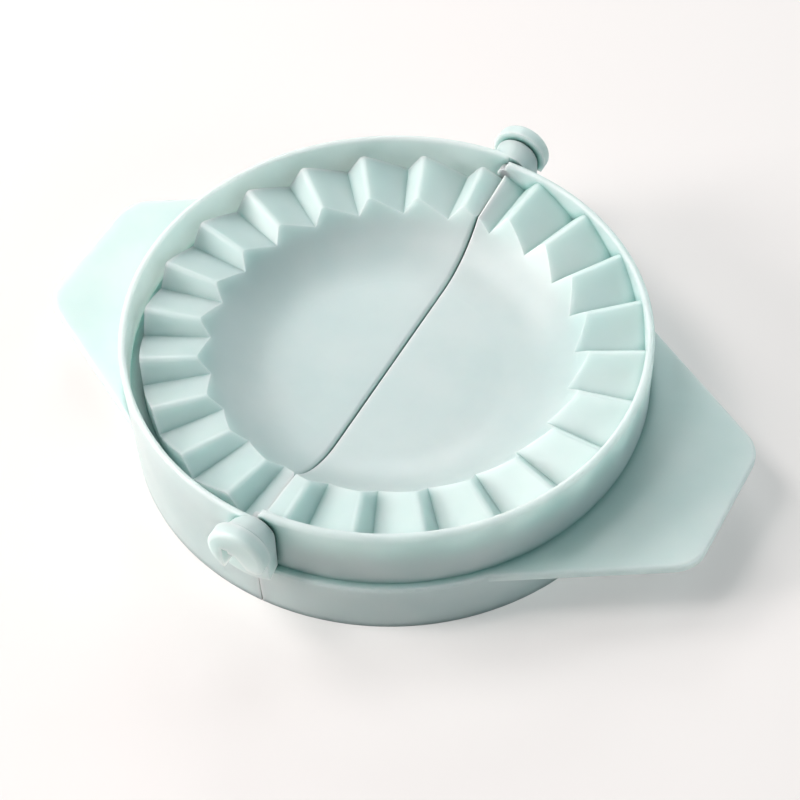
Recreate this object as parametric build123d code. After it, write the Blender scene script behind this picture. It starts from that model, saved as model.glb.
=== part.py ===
from build123d import *
import math
import os

# Empanada press, opened flat.
# +X points from the lipped half's tab to the stepped half's tab, Y runs along the hinge axis
# and Z is up. The origin is on the table, under the middle of the press. Sizes are in mm,
# angles in degrees.

# Overall
body_radius = 50.4            # outside of the lip and of the ledge
foot_draft = 0.6              # how much smaller the wall's radius is at the table
rim_height = 25.3             # top of the lip and of the stepped half's rim
ledge_height = 12.1           # top of the ledge and of both tabs
split_gap = 0.3               # between the two halves when the press lies open

# Walls
wall = 1.8                    # shell, skirt and floor of the bowl
lip_wall = 1.3
rim_wall = 1.6

# How the rim enters the lip when the press is shut
rim_play = 0.4                # radial gap between the rim and the lip
tooth_play = 0.4              # radial gap between the rim and the lipped half's teeth
groove_play = 3.0             # left under the rim in the groove behind the lip

# Teeth
tooth_count = 12              # on each half
steep_angle = 3.7             # turn between a crest and the valley after it
tooth_depth = 4.2             # crest to valley, at the outer end
crest_drop = 0.8              # stepped half's crests below its rim
bite_gap = 0.7                # between the two sets of teeth when the press is shut
stepped_crest_grade = 0.149   # fall towards the bowl, mm per mm
stepped_valley_grade = 0.066
lipped_crest_grade = 0.125
lipped_valley_grade = -0.02

# Bowls
bowl_floor_height = 13.9
bowl_floor_radius = 21.0
bowl_corner_radius = 18.0
bowl_wall_angle = 50.0        # from the horizontal

# Tabs
tab_reach = 18.6              # past the body
tab_thickness = 2.0
tab_end_width = 29.5          # between the two corners, before they are rounded
tab_flare = 0.6               # growth of the half width, mm per mm towards the body
tab_corner_radius = 7.0
tab_edge_radius = 0.6

# Hinge
axis_height = 22.2
ear_inner_half_width = 3.9    # where the ear meets the lip
ear_outer_half_width = 4.6    # next to the pin's head
ear_depth = 3.9               # along Y
ear_play = 0.6                # between the ear and the stepped half's rim
swing_play = 0.5              # between the ear's lower edge and the passing corner of the ledge
pin_radius = 1.0
pin_play = 0.05               # running clearance in the rim's hole
pin_press = 0.02              # interference in the ear
pin_tip_play = 0.2            # between the pin's tip and the bottom of the rim's hole
eye_floor = 0.4               # left under the rim's hole, towards the bowl
eye_wall = 0.5                # around the hole, where the eye stands out past the rim's end
head_radius = 5.6
head_gap = 0.4                # between the ear and the pin's head
head_thickness = 2.9
head_edge_radius = 0.9
head_cut_drop = 2.5           # the head's +X side ends this far under the axis
head_cut_rise = 0.3           # the cut beside the notch ends this far over the axis
head_cut_start = -1.2         # X of the cut's three corners
head_cut_shoulder = 0.3
head_cut_end = 2.4
head_notch_width = 1.3
head_notch_rise = 0.9         # the notch's end over the axis

# Rounded edges
lip_edge_radius = 0.6
rim_inner_edge_radius = 0.5
rim_outer_edge_radius = 1.0
rim_end_radius = 1.0          # top corner at both ends of the rim
tooth_edge_radius = 1.1       # along the crests
split_edge_radius = 1.0       # of the lipped half's bowl, along the split
ledge_edge_radius = 0.5
ear_edge_radius = 0.5

# Worked out from the sizes above
rim_radius = body_radius - lip_wall - rim_play
rim_inner_radius = rim_radius - rim_wall
lip_inner_radius = body_radius - lip_wall
foot_radius = body_radius - foot_draft
lipped_tooth_radius = rim_inner_radius - tooth_play
shut_rim_height = 2 * axis_height - rim_height
groove_floor_height = shut_rim_height - groove_play
stepped_crest_height = rim_height - crest_drop
stepped_valley_height = stepped_crest_height - tooth_depth
lipped_crest_height = 2 * axis_height - bite_gap - stepped_valley_height
lipped_valley_height = 2 * axis_height - bite_gap - stepped_crest_height
eye_radius = pin_radius + pin_play + eye_wall
ear_inner_y = rim_radius + ear_play
ear_outer_y = ear_inner_y + ear_depth
ear_reach = math.hypot(split_gap / 2, axis_height - ledge_height) - swing_play
head_inner_y = ear_outer_y + head_gap
head_outer_y = head_inner_y + head_thickness
tab_end_x = body_radius + tab_reach
reach = tab_end_x + head_outer_y      # further than any piece goes
margin = 5.0                  # how far cutting shapes reach past what they cut


def profile(corners, rounded):
    """Face in the XZ plane from (radius, height) corners; rounded gives corner number: radius."""
    face = make_face(Polyline([(r, 0, z) for r, z in corners], close=True))
    for number, radius in rounded.items():
        r, z = corners[number]
        corner = face.vertices().sort_by_distance((r, 0, z))[0]
        face = fillet(corner, radius)
    return face


def turned(corners, rounded={}):
    """Solid turned about Z."""
    return revolve(profile(corners, rounded), Axis.Z, 360)


def slab(x_low, x_high, y_low, y_high, z_low, z_high):
    """Box between six planes."""
    size = (x_high - x_low, y_high - y_low, z_high - z_low)
    centre = ((x_low + x_high) / 2, (y_low + y_high) / 2, (z_low + z_high) / 2)
    return Pos(*centre) * Box(*size)


def rod(radius, side, near, far):
    """Cylinder on the hinge axis, from near to far on one side of the middle."""
    centre = (0, side * (near + far) / 2, axis_height)
    return Pos(*centre) * Rot(90, 0, 0) * Cylinder(radius, far - near)


def bowl(skin):
    """The bowl's space, grown outwards by skin."""
    centre = Vector(bowl_floor_radius, 0, bowl_floor_height + bowl_corner_radius)
    radius = bowl_corner_radius + skin
    slope = math.radians(bowl_wall_angle)
    low = centre - Vector(0, 0, radius)
    middle = centre + Vector(math.sin(slope / 2), 0, -math.cos(slope / 2)) * radius
    high = centre + Vector(math.sin(slope), 0, -math.cos(slope)) * radius
    top = rim_height + margin
    brim = high + Vector(math.cos(slope), 0, math.sin(slope)) * ((top - high.Z) / math.sin(slope))
    edges = [
        Line((0, 0, low.Z), low),
        ThreePointArc(low, middle, high),
        Line(high, brim),
        Line(brim, (0, 0, top)),
        Line((0, 0, top), (0, 0, low.Z)),
    ]
    return revolve(make_face(edges), Axis.Z, 360)


def tooth_ring(crest_height, valley_height, crest_grade, valley_grade, outer_radius, bottom):
    """Saw teeth centred on +X, from inside the bowl's brim to past outer_radius.

    Each steep side follows its crest as the angle about Z grows. Heights are at outer_radius.
    """
    pitch = 180 / tooth_count
    near = bowl_reach(valley_height) - margin
    far = outer_radius + margin

    def ridge_point(angle, height, grade, radius):
        turn = math.radians(angle)
        z = height - grade * (outer_radius - radius)
        return Vector(radius * math.cos(turn), radius * math.sin(turn), z)

    def under(point):
        return Vector(point.X, point.Y, bottom)

    def flat(*corners):
        return Face(Wire.make_polygon(corners, close=True))

    ridges = []
    for step in range(-1, tooth_count):
        valley_angle = steep_angle / 2 + pitch * (step - (tooth_count - 1) / 2)
        crest_angle = valley_angle - steep_angle + pitch
        for angle, height, grade in (
            (valley_angle, valley_height, valley_grade),
            (crest_angle, crest_height, crest_grade),
        ):
            ridges.append([ridge_point(angle, height, grade, radius) for radius in (near, far)])

    faces = []
    for (near_a, far_a), (near_b, far_b) in zip(ridges, ridges[1:]):
        line_a = Edge.make_line(near_a, far_a)
        line_b = Edge.make_line(near_b, far_b)
        faces.append(Face.make_surface_from_curves(line_a, line_b))
        faces.append(flat(near_a, near_b, under(near_b), under(near_a)))
        faces.append(flat(far_a, far_b, under(far_b), under(far_a)))
    for near_end, far_end in (ridges[0], ridges[-1]):
        faces.append(flat(near_end, far_end, under(far_end), under(near_end)))
    outline = [under(near_point) for near_point, far_point in ridges]
    outline += [under(far_point) for near_point, far_point in reversed(ridges)]
    faces.append(flat(*outline))
    ring = Solid(Shell(faces))
    crests = [(near_point + far_point) / 2 for near_point, far_point in ridges[1:-1:2]]
    return fillet([ring.edges().sort_by_distance(crest)[0] for crest in crests], tooth_edge_radius)


def bowl_reach(height):
    """The bowl's radius at a height on its rounded corner."""
    return bowl_floor_radius + math.sqrt(
        bowl_corner_radius ** 2 - (bowl_floor_height + bowl_corner_radius - height) ** 2
    )


def tab():
    """Tab towards +X, with its outer corners and edges rounded."""
    tip = tab_end_x
    root = body_radius / 2
    tip_half = tab_end_width / 2
    root_half = tip_half + tab_flare * (tip - root)
    corners = [(root, -root_half), (tip, -tip_half), (tip, tip_half), (root, root_half)]
    outline = make_face(Polyline(corners, close=True))
    outline = fillet(outline.vertices().sort_by(Axis.X)[-2:], tab_corner_radius)
    plate = extrude(Plane.XY.offset(ledge_height - tab_thickness) * outline, tab_thickness)
    rims = plate.faces().sort_by(Axis.Z)[0].edges() + plate.faces().sort_by(Axis.Z)[-1].edges()
    outer = [edge for edge in rims if edge.center().X > root + tab_edge_radius]
    return fillet(outer, tab_edge_radius)


def past_bowl():
    """Space of one half towards +X, without the bowl."""
    return slab(split_gap / 2, reach, -reach, reach, 0, rim_height + margin / 2) - bowl(0)


def rounded_past_bowl():
    """The same space with the bowl's edge along the split rounded."""
    space = past_bowl()
    split_face = space.faces().sort_by(Axis.X)[0]
    edges = [edge for edge in split_face.edges() if bowl(0).distance_to(edge.center()) < 0.001]
    return fillet(edges, split_edge_radius)


def shell_half(blank, cavity, teeth, tooth_radius, hollow, space):
    """Half a press towards +X: the turned blank with its teeth, bowl, tab and hollow underside."""
    disc = turned([(0, 0), (tooth_radius, 0), (tooth_radius, rim_height), (0, rim_height)])
    body = blank + tab() - cavity + (teeth & disc)
    inside = slab(split_gap / 2 + wall, reach, -reach, reach, 0, reach)
    body = body - ((hollow - bowl(wall)) & inside)
    return body & space


def stepped_half():
    """Half with the rim that enters the lip, on the +X side."""
    valley_end = stepped_valley_height - stepped_valley_grade * (
        rim_inner_radius - bowl_reach(stepped_valley_height)
    )
    under = min(stepped_valley_height, valley_end) - wall
    blank = turned(
        [
            (0, 0),
            (foot_radius, 0),
            (body_radius, ledge_height),
            (rim_radius, ledge_height),
            (rim_radius, rim_height),
            (0, rim_height),
        ],
        {4: rim_outer_edge_radius, 2: ledge_edge_radius},
    )
    cavity = turned(
        [
            (0, under),
            (rim_inner_radius, under),
            (rim_inner_radius, rim_height),
            (body_radius + margin, rim_height),
            (body_radius + margin, rim_height + margin),
            (0, rim_height + margin),
        ],
        {2: rim_inner_edge_radius},
    )
    teeth = tooth_ring(
        stepped_crest_height,
        stepped_valley_height,
        stepped_crest_grade,
        stepped_valley_grade,
        rim_inner_radius,
        under,
    )
    hollow = turned(
        [
            (0, 0),
            (foot_radius - wall, 0),
            (body_radius - wall, ledge_height - wall),
            (rim_inner_radius, ledge_height - wall),
            (rim_inner_radius, under),
            (0, under),
        ]
    )
    half = shell_half(blank, cavity, teeth, rim_inner_radius + rim_wall / 2, hollow, past_bowl())
    band = turned(
        [(rim_inner_radius, 0), (rim_radius, 0), (rim_radius, rim_height), (rim_inner_radius, rim_height)]
    )
    past_split = slab(-reach, split_gap / 2, -reach, reach, 0, reach)
    for side in (-1, 1):
        half = half + (rod(eye_radius, side, 0, body_radius) & band & past_split)
        half = half - rod(pin_radius + pin_play, side, rim_inner_radius + eye_floor, reach)
    return half - rim_end_corner()


def rim_end_corner():
    """What is cut off the rim's ends to round their top corner."""
    x = split_gap / 2 + rim_end_radius
    z = rim_height - rim_end_radius
    block = slab(0, x, -reach, reach, z, rim_height + margin)
    return block - Pos(x, 0, z) * Rot(90, 0, 0) * Cylinder(rim_end_radius, 2 * reach)


def lipped_half():
    """Half with the lip and the hinge ears, on the -X side."""
    under = lipped_valley_height - wall
    groove_wall_radius = lipped_tooth_radius - wall
    blank = turned(
        [(0, 0), (foot_radius, 0), (body_radius, rim_height), (0, rim_height)],
        {2: lip_edge_radius},
    )
    cavity = turned(
        [
            (0, groove_floor_height),
            (lip_inner_radius, groove_floor_height),
            (lip_inner_radius, rim_height),
            (body_radius + margin, rim_height),
            (body_radius + margin, rim_height + margin),
            (0, rim_height + margin),
        ],
        {2: lip_edge_radius},
    )
    teeth = tooth_ring(
        lipped_crest_height,
        lipped_valley_height,
        lipped_crest_grade,
        lipped_valley_grade,
        lipped_tooth_radius,
        groove_floor_height,
    )
    hollow = turned(
        [
            (0, 0),
            (foot_radius - wall, 0),
            (body_radius - wall, groove_floor_height - wall),
            (groove_wall_radius, groove_floor_height - wall),
            (groove_wall_radius, under),
            (0, under),
        ]
    )
    half = shell_half(blank, cavity, teeth, lipped_tooth_radius, hollow, rounded_past_bowl())
    half = Rot(0, 0, 180) * half
    for side in (-1, 1):
        half = half + ear(side) - rod(pin_radius - pin_press, side, rim_radius, reach)
    return half


def arch(half_width, top, y):
    """Upright face with a round top, from the table up."""
    centre = top - half_width
    edges = [
        Line((-half_width, y, 0), (half_width, y, 0)),
        Line((half_width, y, 0), (half_width, y, centre)),
        ThreePointArc((half_width, y, centre), (0, y, top), (-half_width, y, centre)),
        Line((-half_width, y, centre), (-half_width, y, 0)),
    ]
    return make_face(edges)


def ear(side):
    """Hinge ear: it starts flush with the lip, widens outwards, and clears the turning ledge."""
    inner = arch(ear_inner_half_width, rim_height, side * ear_inner_y)
    outer = arch(ear_outer_half_width, axis_height + ear_outer_half_width, side * ear_outer_y)
    plate = loft([inner, outer]) & rod(ear_reach, side, ear_inner_y, ear_outer_y)
    face = plate.faces().sort_by(Axis.Y)[-1 if side > 0 else 0]
    return fillet(face.edges(), ear_edge_radius)


def hinge_pin(side):
    """Pin pressed into an ear; its head is cut away below on the +X side, beside a notch."""
    head = rod(head_radius, side, head_inner_y, head_outer_y)
    face = head.faces().sort_by(Axis.Y)[-1 if side > 0 else 0]
    head = fillet(face.edges(), head_edge_radius)
    low = axis_height - head_cut_drop
    high = axis_height + head_cut_rise
    corners = [
        (head_cut_start, 0),
        (head_cut_start, high),
        (head_cut_shoulder, high),
        (head_cut_end, low),
        (reach, low),
        (reach, 0),
    ]
    cut = extrude(make_face(Polyline([(x, 0, z) for x, z in corners], close=True)), reach, both=True)
    notch_x = head_cut_start - head_notch_width
    notch = slab(notch_x, head_cut_start, -reach, reach, 0, axis_height + head_notch_rise)
    tip = rim_inner_radius + eye_floor + pin_tip_play
    return head - cut - notch + rod(pin_radius, side, tip, head_inner_y)


parts = {
    "lipped_half": lipped_half(),
    "stepped_half": stepped_half(),
    "front_hinge_pin": hinge_pin(-1),
    "back_hinge_pin": hinge_pin(1),
}
os.makedirs("parts", exist_ok=True)
for name, shape in parts.items():
    export_step(shape, f"parts/{name}.step")
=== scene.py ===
import math
import bpy
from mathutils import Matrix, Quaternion, Vector

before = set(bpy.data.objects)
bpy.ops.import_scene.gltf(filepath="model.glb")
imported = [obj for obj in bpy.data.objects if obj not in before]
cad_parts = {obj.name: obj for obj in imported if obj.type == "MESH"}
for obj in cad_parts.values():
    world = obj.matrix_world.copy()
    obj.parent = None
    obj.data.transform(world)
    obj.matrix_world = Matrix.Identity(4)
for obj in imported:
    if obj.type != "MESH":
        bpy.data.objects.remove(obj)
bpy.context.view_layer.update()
print("frame loaded:", ", ".join(sorted(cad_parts)))


def linear(hexColor):
    # sRGB hex to the linear colour that Blender's sockets take
    channels = [int(hexColor[i:i + 2], 16) / 255 for i in (1, 3, 5)]
    return tuple(c / 12.92 if c <= 0.04045 else ((c + 0.055) / 1.055) ** 2.4 for c in channels) + (1.0,)


def perMetre(millimetres):
    # a noise scale whose features are about this far apart
    return 1000 / millimetres


def addNode(tree, kind, settings=None, values=None, links=None):
    # adds a node, sets its options and sockets, and links (node, output) pairs into its inputs
    node = tree.nodes.new(kind)
    for name, value in (settings or {}).items():
        setattr(node, name, value)
    for name, value in (values or {}).items():
        node.inputs[name].default_value = value
    for name, (source, output) in (links or {}).items():
        tree.links.new(source.outputs[output], node.inputs[name])
    return node


def setRamp(ramp, stops):
    # stops are (position, colour) pairs, low to high
    while len(ramp.elements) < len(stops):
        ramp.elements.new(1.0)
    for element, (position, color) in zip(ramp.elements, stops):
        element.position = position
        element.color = color


# moulded polypropylene with a little pale green in it: milky, so light scatters through thin walls; thin
# edges get a painted glow and folds and gaps a painted shade of deeper teal; a satin gloss from a
# fine-blasted mould, slow waves where the walls shrank
polypropylene = {
    "paleColor": "#c8dedb",
    "deepColor": "#bad5d3",
    "cloudSize": 22.0,          # sizes, heights and reaches are in mm
    # painted shade in folds and gaps, darkened towards a deep teal
    "paintedFoldShadeColor": "#b9d8d5",
    "paintedGapShadeColor": "#123c39",
    "paintedShadeReach": 2.4,
    "gapShadeOpenness": 0.12,        # how much of its surroundings a spot sees, from 0 to 1
    "foldShadeOpenness": 0.45,
    "unshadedOpenness": 0.8,
    # painted glow on thin edges, a paler tint
    "paintedEdgeGlowColor": "#dfecea",
    "paintedGlowReach": 0.9,
    "paintedGlowOpenness": 0.5,
    "paintedGlowShare": 0.4,
    "noiseLow": 0.3,            # the stretch of a noise's values that is spread over a whole range
    "noiseHigh": 0.7,
    "smudgeSize": 9.0,
    "glossyRoughness": 0.36,
    "dullRoughness": 0.5,
    "edgeSoftness": 0.18,
    "waveSize": 14.0,
    "waveHeight": 0.05,
    "grainSize": 0.55,          # a real blasted grain is about 0.15, too fine to show
    "grainHeight": 0.006,
    "ior": 1.49,
    "gloss": 0.7,
    "milkDepth": 6.5,
    "milkTint": (0.95, 1.0, 0.94),
}


def mouldedPolypropylene(name, look):
    material = bpy.data.materials.new(name)
    material.use_nodes = True
    tree = material.node_tree
    shader = tree.nodes["Principled BSDF"]
    place = addNode(tree, "ShaderNodeTexCoord")

    # faint clouds, where the pigment is mixed a little thinner
    clouds = addNode(tree, "ShaderNodeTexNoise", {},
                     {"Scale": perMetre(look["cloudSize"]), "Detail": 3.0, "Roughness": 0.55},
                     {"Vector": (place, "Object")})
    cloudTint = addNode(tree, "ShaderNodeValToRGB", {}, {}, {"Fac": (clouds, "Fac")})
    setRamp(cloudTint.color_ramp, [(look["noiseLow"], linear(look["deepColor"])),
                                   (look["noiseHigh"], linear(look["paleColor"]))])

    # painted shade: folds, creases and gaps are darkened towards a deep teal by how little of their
    # surroundings they see
    paintedShadeMask = addNode(tree, "ShaderNodeAmbientOcclusion", {"samples": 8}, {"Distance": look["paintedShadeReach"] / 1000})
    paintedFoldShade = addNode(tree, "ShaderNodeValToRGB", {}, {}, {"Fac": (paintedShadeMask, "AO")})
    setRamp(paintedFoldShade.color_ramp, [(look["gapShadeOpenness"], linear(look["paintedGapShadeColor"])),
                                  (look["foldShadeOpenness"], linear(look["paintedFoldShadeColor"])),
                                  (look["unshadedOpenness"], linear("#ffffff"))])
    # the random pigment tone times the painted shade
    toneAndPaintedShade = addNode(tree, "ShaderNodeMix", {"data_type": "RGBA", "blend_type": "MULTIPLY"}, {0: 1.0},
                   {6: (cloudTint, "Color"), 7: (paintedFoldShade, "Color")})

    # painted glow: thin edges, found by how soon the plastic ends when it is looked through from inside, are
    # tinted paler as if light came through them
    thinEdgeMask = addNode(tree, "ShaderNodeAmbientOcclusion", {"samples": 6, "inside": True, "only_local": True},
                   {"Distance": look["paintedGlowReach"] / 1000})
    paintedGlowAmount = addNode(tree, "ShaderNodeMapRange", {},
                        {"From Min": 1.0, "From Max": look["paintedGlowOpenness"],
                         "To Min": 0.0, "To Max": look["paintedGlowShare"]},
                        {"Value": (thinEdgeMask, "AO")})
    color = addNode(tree, "ShaderNodeMix", {"data_type": "RGBA"}, {7: linear(look["paintedEdgeGlowColor"])},
                    {0: (paintedGlowAmount, "Result"), 6: (toneAndPaintedShade, 2)})

    # smudges of handling, which change the gloss alone
    smudges = addNode(tree, "ShaderNodeTexNoise", {},
                      {"Scale": perMetre(look["smudgeSize"]), "Detail": 4.0, "Roughness": 0.6},
                      {"Vector": (place, "Object")})
    sheen = addNode(tree, "ShaderNodeMapRange", {},
                    {"From Min": look["noiseLow"], "From Max": look["noiseHigh"],
                     "To Min": look["glossyRoughness"], "To Max": look["dullRoughness"]},
                    {"Value": (smudges, "Fac")})

    # the surface: softened edges, then the waves, then the grain
    softEdge = addNode(tree, "ShaderNodeBevel", {"samples": 6}, {"Radius": look["edgeSoftness"] / 1000})
    waves = addNode(tree, "ShaderNodeTexNoise", {},
                    {"Scale": perMetre(look["waveSize"]), "Detail": 1.0, "Roughness": 0.4},
                    {"Vector": (place, "Object")})
    waved = addNode(tree, "ShaderNodeBump", {}, {"Strength": 1.0, "Distance": look["waveHeight"] / 1000},
                    {"Height": (waves, "Fac"), "Normal": (softEdge, "Normal")})
    grain = addNode(tree, "ShaderNodeTexNoise", {},
                    {"Scale": perMetre(look["grainSize"]), "Detail": 2.0, "Roughness": 0.5},
                    {"Vector": (place, "Object")})
    grained = addNode(tree, "ShaderNodeBump", {}, {"Strength": 1.0, "Distance": look["grainHeight"] / 1000},
                      {"Height": (grain, "Fac"), "Normal": (waved, "Normal")})

    # base colour: random pigment tone, painted shade in folds and gaps, painted glow on thin edges
    tree.links.new(color.outputs[2], shader.inputs["Base Color"])
    tree.links.new(sheen.outputs["Result"], shader.inputs["Roughness"])
    tree.links.new(grained.outputs["Normal"], shader.inputs["Normal"])
    shader.inputs["IOR"].default_value = look["ior"]
    shader.inputs["Specular IOR Level"].default_value = look["gloss"]
    shader.inputs["Subsurface Weight"].default_value = 1.0
    shader.inputs["Subsurface Radius"].default_value = look["milkTint"]
    shader.inputs["Subsurface Scale"].default_value = look["milkDepth"] / 1000
    return material


mintPlastic = mouldedPolypropylene("polypropyleneMintSatin", polypropylene)
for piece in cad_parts.values():
    piece.data.materials.clear()
    piece.data.materials.append(mintPlastic)
print("plastic on", len(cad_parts), "pieces")

# a portrait lens that looks down at the press from its front right; places are in metres
cameraSettings = {
    "place": (0.126405, -0.220108, 0.315965),
    "target": (0.00395, -0.0043, 0.010),
    "roll": -1.63,
    "lens": 93.96,
    "sensor": 36.0,
    "clipStart": 0.01,
}


def makeCamera(look):
    bpy.ops.object.camera_add(location=look["place"])
    camera = bpy.context.object
    toTarget = Vector(look["target"]) - Vector(look["place"])
    turn = toTarget.to_track_quat("-Z", "Y") @ Quaternion((0, 0, 1), math.radians(look["roll"]))
    camera.rotation_euler = turn.to_euler()
    camera.data.lens = look["lens"]
    camera.data.sensor_width = look["sensor"]
    camera.data.clip_start = look["clipStart"]
    bpy.context.scene.camera = camera


# round lamps on a dome: azimuth from +X towards +Y, elevation, width in metres, power in watts, colour
domeRadius = 0.9
softboxes = {
    "keyLeft": (213, 26, 0.36, 6.0, "#fff5f3"),
    "sideLeft": (182, 45, 0.3, 2.0, "#fff5f3"),
    "highLeft": (212, 60, 0.3, 2.7, "#fff9f7"),
    "fillRight": (355, 26, 0.32, 1.7, "#dceff3"),
    "fillBack": (120, 32, 0.3, 1.5, "#ffffff"),
    "highBack": (120, 60, 0.3, 0.9, "#ffffff"),
    "sideRight": (60, 30, 0.3, 0.9, "#dceff3"),
}


def makeSoftbox(name, azimuth, elevation, width, power, color):
    across = math.cos(math.radians(elevation))
    way = Vector((across * math.cos(math.radians(azimuth)), across * math.sin(math.radians(azimuth)),
                  math.sin(math.radians(elevation))))
    bpy.ops.object.light_add(type="AREA", location=way * domeRadius)
    lamp = bpy.context.object
    lamp.name = name
    lamp.data.shape = "DISK"
    lamp.data.size = width
    lamp.data.energy = power
    lamp.data.color = linear(color)[:3]
    lamp.rotation_euler = (-way).to_track_quat("-Z", "Y").to_euler()


def seenRays(tree):
    # 1 for what the camera sees, straight, in a reflection or through a clear piece, and 0 for other light
    ray = addNode(tree, "ShaderNodeLightPath")
    straight = addNode(tree, "ShaderNodeMath", {"operation": "MAXIMUM"}, {},
                       {0: (ray, "Is Camera Ray"), 1: (ray, "Is Glossy Ray")})
    return addNode(tree, "ShaderNodeMath", {"operation": "MAXIMUM"}, {},
                   {0: (straight, "Value"), 1: (ray, "Is Transmission Ray")})


# matte white paper, seen a little whiter than it is near the press, so that the shadow stays, and
# quite white further away; distances are in metres
floorPaper = {
    "size": 3.0,
    "color": "#f5f2f0",
    "roughness": 0.8,
    "glowColor": "#fbfaf9",
    "nearGlow": 0.33,
    "farGlow": 1.0,
    "nearDistance": 0.2,
    "farDistance": 0.8,
}


def makeFloor(look):
    bpy.ops.mesh.primitive_plane_add(size=look["size"], location=(0, 0, 0))
    floor = bpy.context.object
    floor.name = "floor"
    material = bpy.data.materials.new("matteWhitePaper")
    material.use_nodes = True
    tree = material.node_tree
    paper = tree.nodes["Principled BSDF"]
    paper.inputs["Base Color"].default_value = linear(look["color"])
    paper.inputs["Roughness"].default_value = look["roughness"]
    place = addNode(tree, "ShaderNodeTexCoord")
    away = addNode(tree, "ShaderNodeVectorMath", {"operation": "LENGTH"}, {}, {0: (place, "Object")})
    amount = addNode(tree, "ShaderNodeMapRange", {},
                     {"From Min": look["nearDistance"], "From Max": look["farDistance"],
                      "To Min": look["nearGlow"], "To Max": look["farGlow"]},
                     {"Value": (away, "Value")})
    share = addNode(tree, "ShaderNodeMath", {"operation": "MULTIPLY"}, {},
                    {0: (seenRays(tree), "Value"), 1: (amount, "Result")})
    glow = addNode(tree, "ShaderNodeEmission", {}, {"Color": linear(look["glowColor"]), "Strength": 1.0})
    blend = addNode(tree, "ShaderNodeMixShader", {}, {}, {0: (share, "Value"), 1: (paper, 0), 2: (glow, 0)})
    tree.links.new(blend.outputs["Shader"], tree.nodes["Material Output"].inputs["Surface"])
    floor.data.materials.append(material)


def makeWorld():
    world = bpy.data.worlds.new("studioWorld")
    bpy.context.scene.world = world
    world.use_nodes = True
    sky = world.node_tree.nodes["Background"]
    sky.inputs["Color"].default_value = linear("#ffffff")
    world.node_tree.links.new(seenRays(world.node_tree).outputs["Value"], sky.inputs["Strength"])


makeCamera(cameraSettings)
for name, settings in softboxes.items():
    makeSoftbox(name, *settings)
makeFloor(floorPaper)
makeWorld()
bpy.context.scene.view_settings.view_transform = "Standard"
print("camera,", len(softboxes), "lamps, floor and world made")
